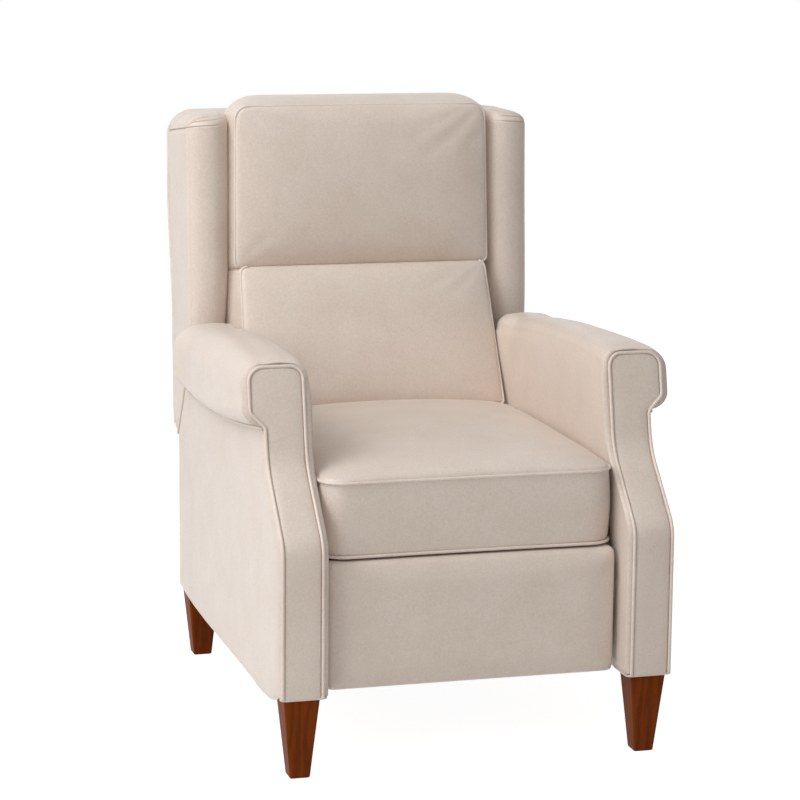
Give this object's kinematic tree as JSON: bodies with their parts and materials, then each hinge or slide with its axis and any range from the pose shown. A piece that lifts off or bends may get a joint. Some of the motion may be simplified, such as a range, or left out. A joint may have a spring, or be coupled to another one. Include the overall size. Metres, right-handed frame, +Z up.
{
  "type": "recliner",
  "caption": "High-leg push-back wing recliner with rolled arms, boxed seat cushion, two back cushions, tapered wood legs and a footrest that swings out on a linkage.",
  "frame": {"origin": "on the floor, under the middle of the chair's overall box", "axes": "+X to the right of someone who faces the chair, +Y towards the rear of the chair, +Z up"},
  "size_m": [0.764, 1.0108, 1.086],
  "materials": {
    "cream_leather": "satin",
    "chestnut_wood": "satin",
    "hardwood": "matte",
    "plywood": "matte",
    "zinc_steel": "satin",
    "spring_wire": "satin",
    "fixing_steel": "satin",
    "deck_cloth": "matte"
  },
  "bodies": {
    "base": {"front_left_leg": "chestnut_wood", "front_right_leg": "chestnut_wood", "rear_left_leg": "chestnut_wood", "rear_right_leg": "chestnut_wood", "leg_bolts": "fixing_steel", "leg_blocks": "hardwood", "left_base_rail": "hardwood", "right_base_rail": "hardwood", "front_stretcher": "hardwood", "rear_rail": "hardwood", "base_back_panel": "cream_leather", "left_arm_frame": "plywood", "right_arm_frame": "plywood", "left_arm_pad": "cream_leather", "right_arm_pad": "cream_leather", "left_side_panel": "cream_leather", "right_side_panel": "cream_leather", "left_arm_front_panel": "cream_leather", "right_arm_front_panel": "cream_leather", "left_arm_front_welt": "cream_leather", "right_arm_front_welt": "cream_leather", "base_plates": "zinc_steel", "pivot_pins": "fixing_steel", "plate_screws": "fixing_steel"},
    "seat": {"seat_left_rail": "hardwood", "seat_right_rail": "hardwood", "seat_front_rail": "hardwood", "seat_rear_rail": "hardwood", "seat_springs": "spring_wire", "seat_deck": "deck_cloth", "seat_plates": "zinc_steel", "footrest_pivot_pins": "fixing_steel", "seat_cushion": "cream_leather", "seat_cushion_welts": "cream_leather"},
    "back": {"back_left_stile": "hardwood", "back_right_stile": "hardwood", "back_top_rail": "hardwood", "back_bottom_rail": "hardwood", "back_springs": "spring_wire", "lumbar_cushion": "cream_leather", "lumbar_cushion_welt": "cream_leather", "head_cushion": "cream_leather", "head_cushion_welt": "cream_leather", "left_wing_pad": "cream_leather", "right_wing_pad": "cream_leather", "left_wing_frame": "plywood", "right_wing_frame": "plywood", "left_wing_side_panel": "cream_leather", "right_wing_side_panel": "cream_leather", "outside_back_panel": "cream_leather", "back_brackets": "zinc_steel"},
    "rear_linkage": {"rear_links": "zinc_steel", "cross_tube": "zinc_steel"},
    "cross_linkage": {"cross_links": "zinc_steel"},
    "front_linkage": {"front_links": "zinc_steel"},
    "footrest": {"footrest_board": "plywood", "footrest_pad": "cream_leather", "footrest_brackets": "zinc_steel", "footrest_bolts": "fixing_steel"}
  },
  "joints": [
    {"name": "back_recline", "type": "hinge", "parent": "base", "child": "back", "pos_m": [0, 0.258, 0.385], "axis": [-1, 0, 0], "range_deg": [0, 32]},
    {"name": "seat_tilt", "type": "hinge", "parent": "base", "child": "seat", "pos_m": [0, 0.198, 0.345], "axis": [-1, 0, 0], "range_deg": [0, 5]},
    {"name": "footrest_open", "type": "hinge", "parent": "seat", "child": "rear_linkage", "pos_m": [0, -0.30131, 0.33], "axis": [-1, 0, 0], "range_deg": [0, 66]},
    {"name": "cross_link_swing", "type": "hinge", "parent": "rear_linkage", "child": "cross_linkage", "pos_m": [0, -0.31898, 0.24686], "axis": [-1, 0, 0], "range_deg": [-132, 0]},
    {"name": "front_link_swing", "type": "hinge", "parent": "rear_linkage", "child": "front_linkage", "pos_m": [0, -0.33665, 0.16371], "axis": [-1, 0, 0], "range_deg": [-132, 0]},
    {"name": "footrest_turn", "type": "hinge", "parent": "front_linkage", "child": "footrest", "pos_m": [0, -0.372, 0.33], "axis": [-1, 0, 0], "range_deg": [0, 151]}
  ],
  "couplings": [
    {"joint": "seat_tilt", "follows": "back_recline", "ratio": 0.15625},
    {"joint": "cross_link_swing", "follows": "footrest_open", "ratio": -2},
    {"joint": "front_link_swing", "follows": "footrest_open", "ratio": -2},
    {"joint": "footrest_turn", "follows": "footrest_open", "ratio": 2.2878}
  ]
}
